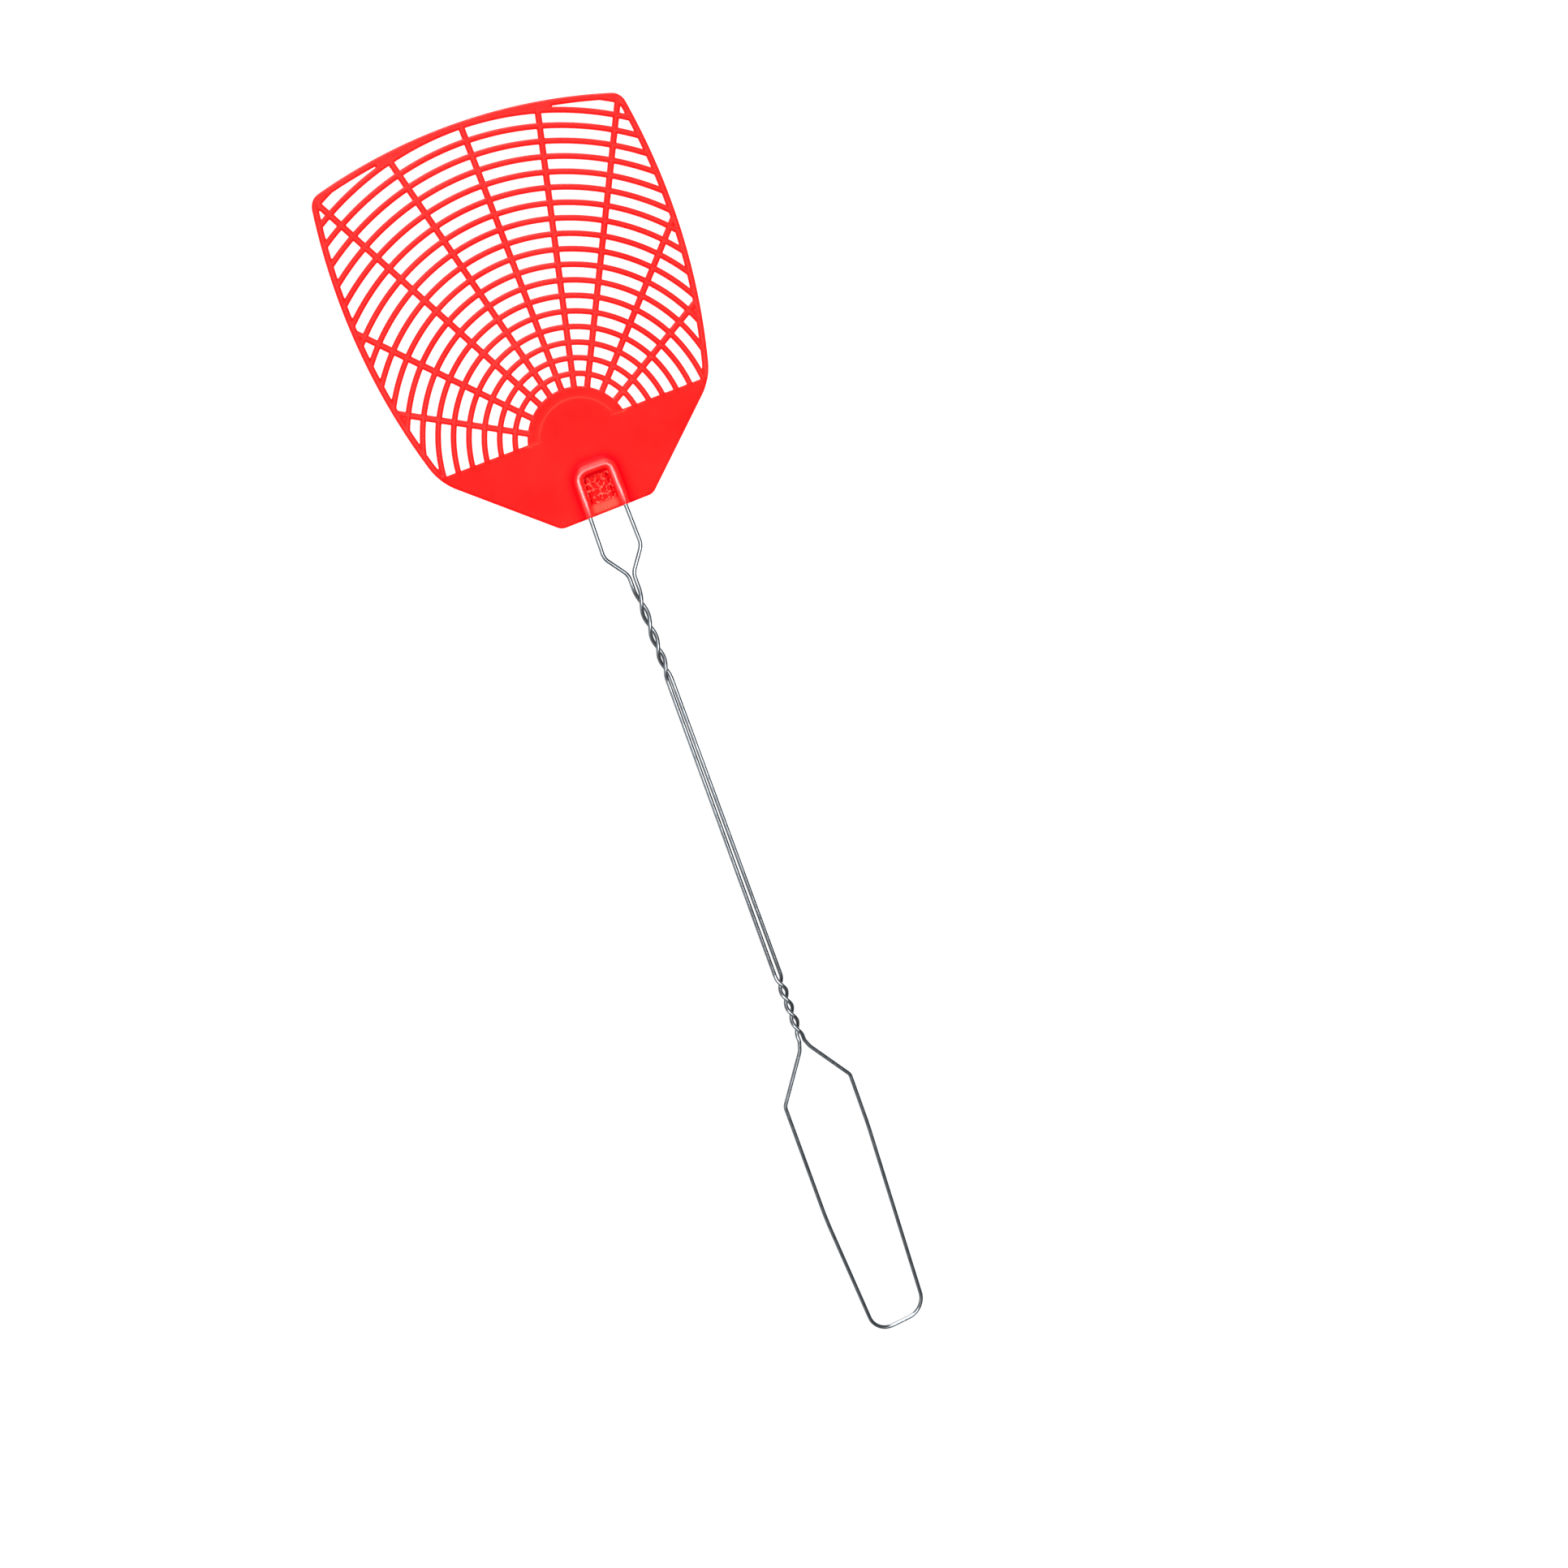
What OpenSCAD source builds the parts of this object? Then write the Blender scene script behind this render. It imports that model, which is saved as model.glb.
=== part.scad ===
// Fly swatter: a soft moulded blade on a handle bent from one steel wire.
// Millimetres. The swatter lies on its back: +Z is the striking face,
// +Y points from the hand loop to the top of the blade, z = 0 is the flat back.

/* [Blade outline] */
// hub centre to the top edge of the blade, on the axis
blade_top = 107.75; // [80:0.25:130]
// hub centre to the straight bottom edge
blade_bottom = 25; // [18:0.5:35]
// widest half width of the blade
blade_half_w = 57.6; // [40:0.2:70]
// height of the widest place above the hub centre
widest_y = 62; // [40:1:80]
// radius of the bowed long sides
side_r = 200; // [120:5:400]
// radius of the bowed top edge
top_r = 195; // [120:5:400]
// hub centre to each sloping lower edge, square to the edge
slope_dist = 29.8; // [20:0.2:40]
// angle of the sloping lower edges above the X axis
slope_angle = 41.5; // [30:0.5:60]
// corner radius between top and side
top_corner_r = 5; // [2:0.5:12]
// corner radius between side and sloping edge
side_corner_r = 20; // [8:1:40]
// corner radius between sloping and bottom edge
bottom_corner_r = 4; // [1:0.5:10]

/* [Blade grid] */
// radius of the first ring's centre line
hub_r = 16.86; // [12:0.1:24]
// number of rings above the hub's edge
ring_count = 18; // [10:1:24]
// spacing of the rings next to the hub
ring_pitch = 5.1; // [3.5:0.05:8]
// how much the spacing closes up per ring
ring_closing = 0.0014; // [0:0.0002:0.004]
// width of a ring rib
ring_w = 1.88; // [1:0.02:3]
// width of a spoke rib
spoke_w = 2.1; // [1:0.05:3]
// angles of the spokes on each side of the axis
spoke_angles = [13.9, 27.9, 44.4, 61.2];
// how far below the hub centre the spokes meet
spoke_origin = 0.5; // [0:0.1:3]
// width of the rim
rim_w = 2.1; // [1.2:0.1:4]
// height of rim, rings and spokes
rib_t = 1.6; // [1:0.1:3]
// thickness of the solid plate
plate_t = 1.4; // [0.8:0.1:3]
// upper edge of the solid plate above the hub centre
plate_edge = 4.7; // [0:0.1:10]
// thickness of the round hub boss, slightly proud of the ribs
hub_t = 1.7; // [0.8:0.05:3]
// radius of the round hub boss
hub_boss_r = 14.1; // [8:0.1:18]

/* [Flexing line] */
// distance of the bending line below the hub centre
flex_drop = 4.2; // [2:0.1:7]
// gap left along the bending line
flex_gap = 0.06; // [0.03:0.01:0.3]

/* [Wire] */
// wire diameter
wire_d = 1.45; // [1:0.05:2.5]
// height of the wire's plane above the flat back
wire_z = 1.72; // [1:0.01:3]
// half the distance between the strands at the upper twist
strand_top = 0.95; // [0.8:0.01:1.4]
// the same at the top of the straight shaft
strand_shaft_top = 0.82; // [0.76:0.01:1.4]
// the same at the bottom of the straight shaft
strand_shaft_end = 1.08; // [0.76:0.01:1.4]
// the same at the end of the lower twist
strand_loop = 0.95; // [0.76:0.01:1.4]
// lean of the handle from the blade's axis
handle_lean = 0.81; // [0:0.01:3]
// where that lean turns, below the hub centre
lean_pivot = 13; // [5:1:25]

/* [Fork and twists] */
// bend radius of the hook on the left
left_hook_bend = 4.2; // [2:0.1:6]
// bend radius of the hook on the right
right_hook_bend = 2.8; // [2:0.1:6]
// bend radius at the fork
fork_bend = 5; // [2:0.5:10]
// bend radius where the legs come together
join_bend = 5; // [1:0.5:6]
// gap between the two wire ends inside the hook
butt_gap = 0.4; // [0.1:0.1:2]
// share of a twist over which the turning eases in and out
ease_in = 0.1; // [0.05:0.05:0.3]
// depth of the anchoring hook's crossbar below the hub centre
hook_y = 9.4; // [7:0.1:14]
// half width of the legs at the hook
leg_top = 6.1; // [4:0.1:9]
// half width of the legs at the fork's bend
leg_end = 6.8; // [4:0.1:9]
// depth of the fork's bend
fork_y = 39.2; // [30:0.1:50]
// depth where the legs come together
join_y = 47.2; // [40:0.1:60]
// start and end of the upper twist
upper_twist = [49.2, 86.2];
// start and end of the lower twist
lower_twist = [196.4, 222.6];
// turns of the upper twist, right-handed
upper_turns = 2; // [1:1:5]
// turns of the lower twist, left-handed
lower_turns = 2; // [1:1:5]
// how much the upper twist tightens towards the shaft
upper_tighten = 1.15; // [1:0.05:1.6]

/* [Hand loop] */
// corners of the loop's centre line from the left strand round to the right one
loop_corners = [
    [-2.0, -226.0], [-13.9, -242.6], [-14.1, -288.0], [-11.3, -336.6],
    [8.9, -336.6], [12.2, -262.0], [12.3, -241.6], [2.0, -225.6]
];
// bend radius at each of those corners
loop_radii = [6, 3, 90, 7.2, 7.2, 90, 3, 6];

/* [Wire pocket] */
// radius of the ridge that wraps the wire
ridge_r = 1.3; // [1:0.05:2]
// clearance between the wire and its channel
wire_clear = 0.04; // [0.02:0.01:0.1]
// half width of the backing flap
flap_half_w = 10.5; // [8:0.5:16]
// upper edge of the flap below the hub centre
flap_top = 5.8; // [5:0.1:9]
// thickness of the flap
flap_t = 0.6; // [0.3:0.1:1]
// clearance around the flap
flap_clear = 0.05; // [0.03:0.01:0.2]
// pitch of the square weld pits
pit_pitch = 2.3; // [1.5:0.1:4]
// side of one pit
pit_w = 1.5; // [0.8:0.1:2.5]
// depth of a pit below the plate's face
pit_depth = 0.45; // [0.2:0.05:0.7]
// pits along and across
pit_count = 4; // [2:1:6]
// centre of the pit field below the hub centre
pit_y = 16.7; // [12:0.1:20]

/* [Placing] */
// hub centre above the middle of the whole length
hub_y = 114.8; // [100:0.1:130]

/* [Hidden] */
$fn = 96;
wire_r = wire_d / 2;
flex_y = -flex_drop;
flex_z = plate_t / 2;
side_cx = blade_half_w - side_r;
top_cy = blade_top - top_r;
// larger than anything on the blade, for cutting shapes
far = 300;
// overlap between shapes that are joined or cut
tiny = 0.01;
// facets: sides of the wire, millimetres per step of a twist, degrees per step of a bend
bar_sides = 12;
twist_step = 0.8;
bend_step = 12;
// the right leg's end stops this far before its bend
short_end = 0.3;
butt_x = leg_top - right_hook_bend - short_end;
plastic_red = [0.93, 0.12, 0.11];
flap_red = [0.85, 0.09, 0.10];
zinc_grey = [0.62, 0.65, 0.68];

// ---- plane geometry ------------------------------------------------------

function unit(v) = v / norm(v);
function direction(a) = [cos(a), sin(a)];

// the point at distances ra from a and rb from b, on the side of larger x
function meet(a, ra, b, rb) =
    let (d = norm(b - a), u = unit(b - a),
         t = (ra * ra - rb * rb + d * d) / (2 * d),
         h = sqrt(ra * ra - t * t), v = [-u[1], u[0]])
    (a + t * u + h * v)[0] > (a + t * u - h * v)[0] ? a + t * u + h * v : a + t * u - h * v;

slope_n = direction(slope_angle - 90);

// centres of the three corner arcs on the right-hand side
top_corner = meet([0, top_cy], top_r - top_corner_r, [side_cx, widest_y], side_r - top_corner_r);
side_corner = let (k = slope_dist - side_corner_r, s = [side_cx, widest_y],
                   along = direction(slope_angle), f = s * slope_n - k,
                   c = s - f * slope_n, reach = side_r - side_corner_r)
    c + along * sqrt(reach * reach - f * f);
bottom_corner = let (k = slope_dist - bottom_corner_r, y = bottom_corner_r - blade_bottom)
    [(k - y * slope_n[1]) / slope_n[0], y];

// the wedge outside a corner arc, between its two end directions
module corner_wedge(c, a, b, reach) {
    polygon([c, c + reach * a, c + reach * (a + b), c + reach * b]);
}

module sharp_outline(inset) {
    intersection() {
        translate([0, top_cy]) circle(r = top_r - inset, $fn = 360);
        translate([side_cx, widest_y]) circle(r = side_r - inset, $fn = 360);
        translate([-side_cx, widest_y]) circle(r = side_r - inset, $fn = 360);
        translate([-far, inset - blade_bottom]) square([2 * far, 2 * far]);
        intersection_for (side = [0, 1]) mirror([side, 0])
            rotate(slope_angle) translate([-far, inset - slope_dist]) square([2 * far, 2 * far]);
    }
}

// the blade's outline moved inwards by inset
module outline(inset = 0) {
    difference() {
        sharp_outline(inset);
        for (side = [0, 1]) mirror([side, 0]) {
            corner_wedge(top_corner, unit(top_corner - [0, top_cy]),
                         unit(top_corner - [side_cx, widest_y]), 2 * top_corner_r);
            corner_wedge(side_corner, slope_n,
                         unit(side_corner - [side_cx, widest_y]), 1.5 * side_corner_r);
            corner_wedge(bottom_corner, slope_n, [0, -1], 2 * bottom_corner_r);
        }
    }
    for (side = [0, 1]) mirror([side, 0]) {
        translate(top_corner) circle(r = top_corner_r - inset);
        translate(side_corner) circle(r = side_corner_r - inset);
        translate(bottom_corner) circle(r = bottom_corner_r - inset);
    }
}

function ring_r(j) = hub_r + ring_pitch * j * (1 - ring_closing * j);

module upper_half(y) {
    translate([-far, y]) square([2 * far, far]);
}

module ring(j) {
    intersection() {
        difference() {
            circle(r = ring_r(j) + ring_w / 2, $fn = 180);
            circle(r = ring_r(j) - ring_w / 2, $fn = 180);
        }
        upper_half(plate_edge - tiny);
    }
}

module spoke(angle) {
    rotate(-angle) translate([-spoke_w / 2, 0]) square([spoke_w, far]);
}

// rings, spokes and hub inside the rim
module grid_ribs() {
    intersection() {
        outline(rim_w / 2);
        union() {
            for (j = [1:ring_count]) ring(j);
            intersection() {
                upper_half(plate_edge - tiny);
                translate([0, -spoke_origin]) {
                    spoke(0);
                    for (a = spoke_angles) {
                        spoke(a);
                        spoke(-a);
                    }
                }
            }
            intersection() {
                circle(r = hub_r + ring_w / 2);
                upper_half(flex_y + plate_t);
            }
        }
    }
}

module rim() {
    difference() {
        outline();
        outline(rim_w);
    }
}

// ---- wire geometry -------------------------------------------------------

// places its children in the handle's slightly leaning frame
module handle_frame() {
    translate([0, -lean_pivot, wire_z])
        rotate(-handle_lean)
            translate([0, lean_pivot, 0])
                children();
}

function turn_of(p, q, s) =
    let (u = unit(q - p), v = unit(s - q))
    atan2(u[0] * v[1] - u[1] * v[0], u * v);

// points round the bend at q, from the line p-q to the line q-s
function bend_points(p, q, s, bend_r) =
    let (u = unit(q - p), turn = turn_of(p, q, s), hand = sign(turn),
         start = q - u * bend_r * tan(abs(turn) / 2),
         centre = start + hand * bend_r * [-u[1], u[0]],
         arm = start - centre, steps = ceil(abs(turn) / bend_step))
    [for (k = [0:steps])
        let (w = turn * k / steps)
        [centre[0] + arm[0] * cos(w) - arm[1] * sin(w),
         centre[1] + arm[0] * sin(w) + arm[1] * cos(w), 0]];

// centre line through a path whose inner points are bends
function bent(path, radii) =
    let (last = len(path) - 1)
    concat([[path[0][0], path[0][1], 0]],
           [for (i = [1:last - 1])
               each bend_points(path[i - 1], path[i], path[i + 1], radii[i - 1])],
           [[path[last][0], path[last][1], 0]]);

// share of the turning done at u, easing in and out
function eased(u) =
    (u < ease_in ? u * u / (2 * ease_in)
     : u < 1 - ease_in ? u - ease_in / 2
     : 1 - ease_in - (1 - u) * (1 - u) / (2 * ease_in)) / (1 - ease_in);
function mix(a, b, u) = a + (b - a) * u;

// one strand of a twist: side -1 is the left strand, hand 1 is right-handed
function twisted(side, hand, span, half, turns, tighten) =
    let (steps = ceil((span[1] - span[0]) / twist_step))
    [for (i = [0:steps])
        let (u = i / steps, phase = 360 * turns * eased(pow(u, tighten)),
             r = mix(half[0], half[1], u))
        [side * r * cos(phase), -mix(span[0], span[1], u), side * hand * r * sin(phase)]];

// a round bar swept along the points of c, its ends square to first and last
module sweep(c, r, first, last) {
    n = len(c);
    m = bar_sides;
    points = [for (i = [0:n - 1])
        let (t = i == 0 ? first : i == n - 1 ? last
                 : unit(unit(c[i + 1] - c[i]) + unit(c[i] - c[i - 1])),
             a = unit(cross(t, [0, 0, 1])), b = cross(a, t))
        for (k = [0:m - 1]) c[i] + r * (cos(360 * k / m) * a + sin(360 * k / m) * b)];
    sides = [for (i = [0:n - 2]) for (k = [0:m - 1])
        let (k2 = (k + 1) % m)
        each [[i * m + k, (i + 1) * m + k2, (i + 1) * m + k],
              [i * m + k, i * m + k2, (i + 1) * m + k2]]];
    polyhedron(points, concat([[for (k = [m - 1:-1:0]) k]], sides,
               [[for (k = [0:m - 1]) (n - 1) * m + k]]));
}

// points of a list without its first
function rest(v) = [for (i = [1:len(v) - 1]) v[i]];

// half of the anchoring hook and one fork leg, on the side given
function leg(side, tip_x) = [
    [side * tip_x, -hook_y], [side * leg_top, -hook_y], [side * leg_end, -fork_y],
    [side * strand_top, -join_y], [side * strand_top, -upper_twist[0]]
];

module strand(side, tip_x, tip_bend) {
    centre_line = concat(
        bent(leg(side, tip_x), [tip_bend, fork_bend, join_bend]),
        rest(twisted(side, 1, upper_twist, [strand_top, strand_shaft_top], upper_turns, upper_tighten)),
        twisted(side, -1, lower_twist, [strand_shaft_end, strand_loop], lower_turns, 1)
    );
    handle_frame() sweep(centre_line, wire_r, [side, 0, 0], [0, -1, 0]);
}

// the whole hook and the legs out of the blade, as a bar of radius r
module pocket_path(r) {
    path = [[-leg_end, -fork_y], [-leg_top, -hook_y], [leg_top, -hook_y], [leg_end, -fork_y]];
    handle_frame()
        sweep(bent(path, [left_hook_bend, right_hook_bend]), r,
              unit([path[1][0] - path[0][0], path[1][1] - path[0][1], 0]),
              unit([path[3][0] - path[2][0], path[3][1] - path[2][1], 0]));
}

// ---- nodes ---------------------------------------------------------------

module solid_plate() {
    linear_extrude(plate_t) outline();
}

module blade_grid() {
    color(plastic_red) translate([0, hub_y, 0]) {
        linear_extrude(rib_t) intersection() {
            union() {
                grid_ribs();
                rim();
            }
            upper_half(flex_y + plate_t);
        }
        intersection() {
            solid_plate();
            translate([-far, flex_y, 0]) cube([2 * far, plate_edge - flex_y, plate_t]);
        }
        intersection() {
            translate([-far, flex_y, flex_z]) rotate([0, 90, 0]) cylinder(h = 2 * far, r = flex_z);
            linear_extrude(plate_t) outline();
        }
        intersection() {
            cylinder(h = hub_t, r = hub_boss_r);
            translate([-far, flex_y + plate_t, 0]) cube([2 * far, far, hub_t]);
        }
    }
}

module flap_shape(grow) {
    translate([-flap_half_w - grow, -blade_bottom])
        square([2 * (flap_half_w + grow), blade_bottom - flap_top + grow]);
}

module blade_neck() {
    color(plastic_red) translate([0, hub_y, 0]) difference() {
        union() {
            intersection() {
                solid_plate();
                translate([-far, -far, 0])
                    cube([2 * far, far + flex_y - flex_z - flex_gap, plate_t]);
            }
            intersection() {
                pocket_path(ridge_r);
                translate([-far, -blade_bottom, flap_t]) cube([2 * far, blade_bottom, far]);
            }
        }
        translate([0, 0, -tiny]) linear_extrude(flap_t + flap_clear + tiny) flap_shape(flap_clear);
        pocket_path(wire_r + wire_clear);
        translate([0, -pit_y, plate_t - pit_depth])
            rotate(-handle_lean)
                for (i = [0:pit_count - 1])
                    for (k = [0:pit_count - 1])
                        translate([(i - (pit_count - 1) / 2) * pit_pitch - pit_w / 2,
                                   (k - (pit_count - 1) / 2) * pit_pitch - pit_w / 2, 0])
                            cube([pit_w, pit_w, plate_t]);
    }
}

module pocket_flap() {
    color(flap_red) translate([0, hub_y, 0]) linear_extrude(flap_t) flap_shape(0);
}

module wire_left_strand() {
    color(zinc_grey) translate([0, hub_y, 0]) strand(-1, butt_gap - butt_x, left_hook_bend);
}

module wire_right_strand() {
    color(zinc_grey) translate([0, hub_y, 0]) strand(1, butt_x, right_hook_bend);
}

module hand_loop() {
    path = concat([[-strand_loop, -lower_twist[1]]], loop_corners,
                  [[strand_loop, -lower_twist[1]]]);
    color(zinc_grey) translate([0, hub_y, 0]) handle_frame()
        sweep(bent(path, loop_radii), wire_r, [0, -1, 0], [0, 1, 0]);
}

blade_grid();
blade_neck();
pocket_flap();
wire_left_strand();
wire_right_strand();
hand_loop();
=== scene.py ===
"""Looks of the fly swatter: one red moulded blade, its backing flap and one bent steel wire.

The row frame is in metres: the swatter lies on its flat back, +Y towards the blade's top.
Shapes are worked out in millimetres from the hub of the blade and scaled when they are built.
"""

import math

import bmesh
import bpy
import numpy as np
from mathutils import Matrix, Vector, kdtree
from mathutils.geometry import delaunay_2d_cdt


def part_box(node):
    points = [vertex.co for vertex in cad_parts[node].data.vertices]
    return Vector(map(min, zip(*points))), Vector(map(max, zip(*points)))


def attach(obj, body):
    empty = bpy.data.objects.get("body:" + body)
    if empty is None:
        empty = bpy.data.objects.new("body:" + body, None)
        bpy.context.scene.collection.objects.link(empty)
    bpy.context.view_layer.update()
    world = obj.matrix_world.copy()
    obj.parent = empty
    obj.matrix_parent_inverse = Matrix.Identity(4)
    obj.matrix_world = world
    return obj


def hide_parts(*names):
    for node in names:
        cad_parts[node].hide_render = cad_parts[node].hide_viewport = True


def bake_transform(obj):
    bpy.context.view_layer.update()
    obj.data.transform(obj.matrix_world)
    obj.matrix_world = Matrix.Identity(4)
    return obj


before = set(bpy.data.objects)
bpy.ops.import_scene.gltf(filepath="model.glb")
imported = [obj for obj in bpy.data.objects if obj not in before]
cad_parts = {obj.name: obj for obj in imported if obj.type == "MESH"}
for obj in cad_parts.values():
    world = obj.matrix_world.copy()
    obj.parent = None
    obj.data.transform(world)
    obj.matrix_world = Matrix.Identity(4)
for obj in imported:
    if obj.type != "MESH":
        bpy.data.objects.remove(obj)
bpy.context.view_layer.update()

MM = 0.001

# ---- sizes, in millimetres from the hub centre -------------------------------

BLADE_TOP = 107.75
BLADE_BOTTOM = 25.0
WIDEST_Y = 62.0
SIDE_R = 200.0
TOP_R = 195.0
SLOPE_DIST = 29.8
SLOPE_ANGLE = 41.5
TOP_CORNER_R = 5.0
SIDE_CORNER_R = 20.0
BOTTOM_CORNER_R = 4.0

HUB_R = 16.86
RING_COUNT = 18
RING_PITCH = 5.1
RING_CLOSING = 0.0014
RING_W = 1.88
SPOKE_W = 2.1
SPOKE_ANGLES = (13.9, 27.9, 44.4, 61.2)
SPOKE_ORIGIN = 0.5
RIM_W = 2.1
PLATE_EDGE = 4.7
HUB_BOSS_R = 14.1

WIRE_R = 0.712
STRAND_TOP = 0.95
STRAND_SHAFT_TOP = 0.82
STRAND_SHAFT_END = 1.08
STRAND_LOOP = 0.95
HANDLE_LEAN = 0.81
LEAN_PIVOT = 13.0
HOOK_Y = 9.4
LEG_TOP = 6.1
LEG_END = 6.8
FORK_Y = 39.2
JOIN_Y = 47.2
UPPER_TWIST = (49.2, 86.2)
LOWER_TWIST = (196.4, 222.6)
UPPER_TURNS = 2
LOWER_TURNS = 2
UPPER_TIGHTEN = 1.15
EASE_IN = 0.1
FORK_BEND = 5.0
JOIN_BEND = 5.0
LEFT_HOOK_BEND = 4.2
RIGHT_HOOK_BEND = 2.8
BUTT_GAP = 0.4
LOOP_CORNERS = (
    (-2.0, -226.0), (-13.9, -242.6), (-14.1, -288.0), (-11.3, -336.6),
    (8.9, -336.6), (12.2, -262.0), (12.3, -241.6), (2.0, -225.6),
)
LOOP_RADII = (6.0, 3.0, 90.0, 7.2, 7.2, 90.0, 3.0, 6.0)

FLAP_HALF_W = 10.5
FLAP_TOP = 5.8
PIT_PITCH = 2.3
PIT_W = 1.5
PIT_COUNT = 4
PIT_Y = 16.7

# ---- places taken from the CAD frame ----------------------------------------

_, grid_high = (Vector(v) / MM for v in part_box("blade_grid"))
_, neck_high = (Vector(v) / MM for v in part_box("blade_neck"))
_, flap_high = (Vector(v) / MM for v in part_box("pocket_flap"))
loop_low, loop_high = (Vector(v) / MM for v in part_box("hand_loop"))

HUB_Y = grid_high.y - BLADE_TOP
BLADE_HALF_W = grid_high.x
RIB_T = 1.6
PLATE_T = 1.4
HUB_T = grid_high.z
FLAP_T = flap_high.z
WIRE_Z = (loop_low.z + loop_high.z) / 2
SIDE_CX = BLADE_HALF_W - SIDE_R
TOP_CY = BLADE_TOP - TOP_R
RIDGE_TOP = neck_high.z - 0.06

# detail of the moulding
EDGE_R = 0.84         # rounding of every rib and rim on the striking side
SPOKE_DROP = 0.08     # the spokes lie slightly lower than the rings they cross
ROD_DROP_MOST = 0.45  # depth of the groove where two ribs run side by side
GROOVE_DEPTH = 0.2    # shallower between the outermost ring and the rim
BACK_R = 0.28         # smaller rounding on the back
FILLET = 0.2          # corner radius inside each opening
RIDGE_W = 2.9         # half width of the ridge that wraps the wire, at its foot
PAINTED_SHADE_W = 4.2          # reach of the painted shade, a deeper red, round the ridge
EXIT_RUN = 7.0        # towards the bottom edge the ridge sinks over this length
EXIT_DROP = 0.34      # by this share of its height
CREST_BREADTH = 1.4   # above 1 the crest is broader than a plain wave
CREST_SHIFT = 0.2     # the plastic is drawn over the wire slightly to one side
SKIRT_RISE = 0.12     # the plate swells softly round the ridge
SKIRT_W = 3.2
FLOOR_DROP = 0.36     # the floor inside the ridge lies this much lower
LIP_RISE = 0.2        # and rises again towards the bottom edge
PIT_DEPTH = 0.4
PIT_BURR = 0.12       # thin raised lip round each weld pit
FLAP_EDGE_R = 0.2     # the flap's rounded edge
FLAP_WELD = 0.14      # each weld sinks the flap's back by this much
CREST_FADE = (0.7, 1.6)  # the shine ends between these distances from the crest
EXIT_DIM = 0.6        # and dims by this much towards the bottom edge
EXIT_FADE = (20.5, 24.5)
BAR_DIM = 0.3         # the cross bar shines less than the legs
BAR_SIDE_DIM = 0.9    # and hardly at all on its upper side
PAINTED_SHADE_DEPTH = 0.93     # strength of the painted shade (the deeper red)
DISC_EDGE_HIGHLIGHT = 0.42   # painted highlight: a pale line where the hub's raised disc begins
DISC_EDGE_HIGHLIGHT_W = 0.25
PLATE_EDGE_HIGHLIGHT = 0.85  # painted highlight: a pale line where the plate's edge runs into the hub
PLATE_EDGE_HIGHLIGHT_W = 0.22
WIRE_END_R = 0.22     # the wire's cut ends are slightly rounded

# fineness of the meshes
OUTLINE_STEP = 0.7
EXIT_STEP = 0.3
CELL_STEP = 1.15
GROOVE_STEP = 0.4
NET_STEP = 0.3
POCKET_STEP = 0.25
PIT_STEP = 0.14
FLAP_STEP = 0.5
TWIST_STEP = 0.35
WIRE_STEP = 6.0
BACK_STEPS = 2
EDGE_STEPS = 5
WIRE_SIDES = 20
PLATE_NET_LOW = -23.5
PLATE_NET_HALF_W = 46
PLATE_STEP_X = 1.6
PLATE_STEP_Y = 1.1
RECESS_LOW = -24.0
RECESS_STEP = 1.2
RECESS_TOP_STEP = 1.05
RECESS_WALL = 0.06
RECESS_PLAY = 0.02
CORNER_TURN = math.radians(18)
MIN_AREA = 0.12       # smaller openings are left closed
MERGE_DISTANCE = 0.12
LOOP_CLEARANCE = 0.3  # inner points keep this far from every edge


# ---- plane geometry ---------------------------------------------------------

def unit(v):
    return v / np.linalg.norm(v)


def direction(degrees):
    a = math.radians(degrees)
    return np.array([math.cos(a), math.sin(a)])


def meet(a, ra, b, rb):
    """The point at distances ra from a and rb from b, on the side of larger x."""
    d = np.linalg.norm(b - a)
    u = (b - a) / d
    t = (ra * ra - rb * rb + d * d) / (2 * d)
    h = math.sqrt(ra * ra - t * t)
    v = np.array([-u[1], u[0]])
    return max((a + t * u + h * v, a + t * u - h * v), key=lambda p: p[0])


SLOPE_N = direction(SLOPE_ANGLE - 90)
TOP_C = np.array([0.0, TOP_CY])
SIDE_C = np.array([SIDE_CX, WIDEST_Y])
TOP_CORNER = meet(TOP_C, TOP_R - TOP_CORNER_R, SIDE_C, SIDE_R - TOP_CORNER_R)
_k = SLOPE_DIST - SIDE_CORNER_R
_foot = SIDE_C - (SIDE_C @ SLOPE_N - _k) * SLOPE_N
_reach = SIDE_R - SIDE_CORNER_R
SIDE_CORNER = _foot + direction(SLOPE_ANGLE) * math.sqrt(_reach**2 - (SIDE_C @ SLOPE_N - _k) ** 2)
_y = BOTTOM_CORNER_R - BLADE_BOTTOM
BOTTOM_CORNER = np.array([(SLOPE_DIST - BOTTOM_CORNER_R - _y * SLOPE_N[1]) / SLOPE_N[0], _y])


def angle_of(v):
    return math.atan2(v[1], v[0])


def outline_parts():
    """The right-hand half of the blade's outline, from the bottom up, as arcs."""
    top_dir = angle_of(TOP_CORNER - TOP_C)
    low_dir = angle_of(SIDE_CORNER - SIDE_C)
    high_dir = angle_of(TOP_CORNER - SIDE_C)
    return [
        (BOTTOM_CORNER, BOTTOM_CORNER_R, -math.pi / 2, angle_of(SLOPE_N)),
        (SIDE_CORNER, SIDE_CORNER_R, angle_of(SLOPE_N), low_dir),
        (SIDE_C, SIDE_R, low_dir, high_dir),
        (TOP_CORNER, TOP_CORNER_R, high_dir, top_dir),
        (TOP_C, TOP_R, top_dir, math.pi / 2),
    ]


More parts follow.
